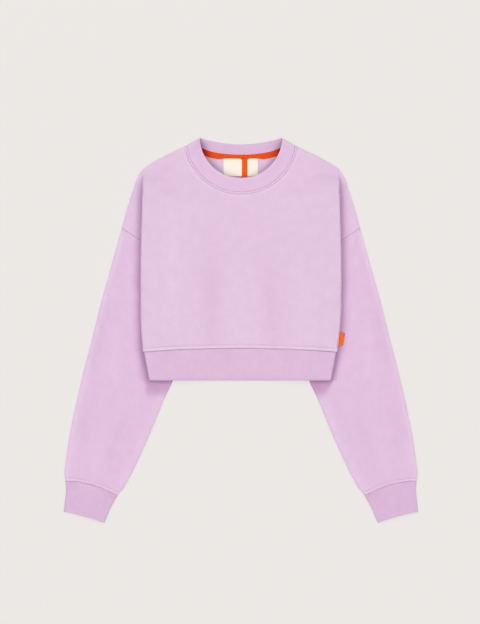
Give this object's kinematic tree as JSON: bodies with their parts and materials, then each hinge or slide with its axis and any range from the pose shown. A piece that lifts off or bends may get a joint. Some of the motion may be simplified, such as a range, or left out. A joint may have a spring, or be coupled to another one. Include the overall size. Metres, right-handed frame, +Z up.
{
  "type": "cropped sweatshirt",
  "caption": "Cropped crew-neck sweatshirt laid flat on its back, with dropped shoulders, sleeves turned down behind the body, and rib neckband, cuffs and hem.",
  "frame": {"origin": "on the floor, under the middle of the garment's outline", "axes": "+Y towards the neck, +X towards the wearer's left side, +Z up, out of the front of the garment"},
  "size_m": [0.708, 0.7715, 0.0116],
  "materials": {
    "fleece": "lilac cotton fleece, plain jersey face, matt with a soft nap",
    "rib": "lilac cotton rib, a little darker than the fleece, matt",
    "orange_tape": "bright orange woven tape, faint ribs across it",
    "cream_label": "cream woven satin label, bare"
  },
  "bodies": {
    "root": {"front_panel": "fleece", "back_panel": "fleece", "left_sleeve": "fleece", "right_sleeve": "fleece", "left_cuff": "rib", "right_cuff": "rib", "hem_band": "rib", "neckband": "rib", "neck_tape": "orange_tape", "label": "cream_label", "label_strip": "orange_tape", "side_tab": "orange_tape"}
  },
  "joints": []
}
